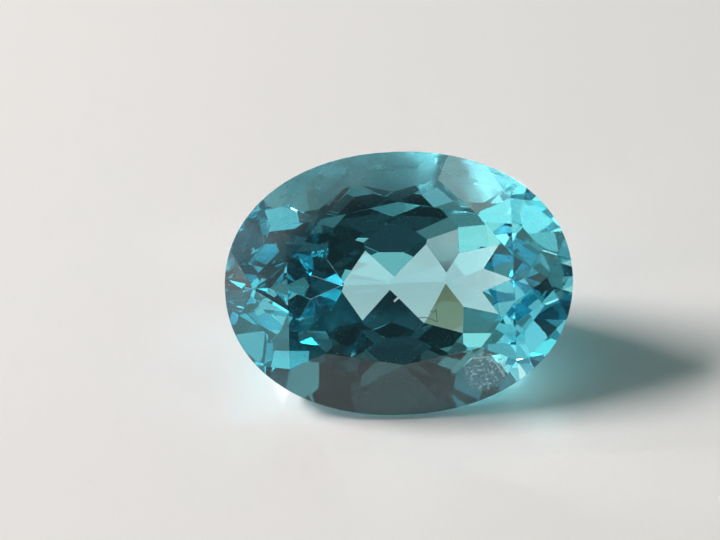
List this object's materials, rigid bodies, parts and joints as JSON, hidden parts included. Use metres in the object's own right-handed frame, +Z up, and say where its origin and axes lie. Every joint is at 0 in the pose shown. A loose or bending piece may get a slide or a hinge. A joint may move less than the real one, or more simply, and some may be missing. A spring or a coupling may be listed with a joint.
{
  "type": "faceted oval topaz",
  "caption": "Loose cut blue topaz: an oval brilliant crown over a tiered pavilion with a short keel, lying on one pavilion facet.",
  "frame": {"origin": "middle of the stone's footprint, on the surface that it lies on", "axes": "+X along the stone's length, +Z up, the table facet faces -Y and up"},
  "size_m": [0.02, 0.0114, 0.0121],
  "materials": {
    "topaz": "polished"
  },
  "bodies": {
    "root": {"topaz": "topaz"}
  },
  "joints": []
}
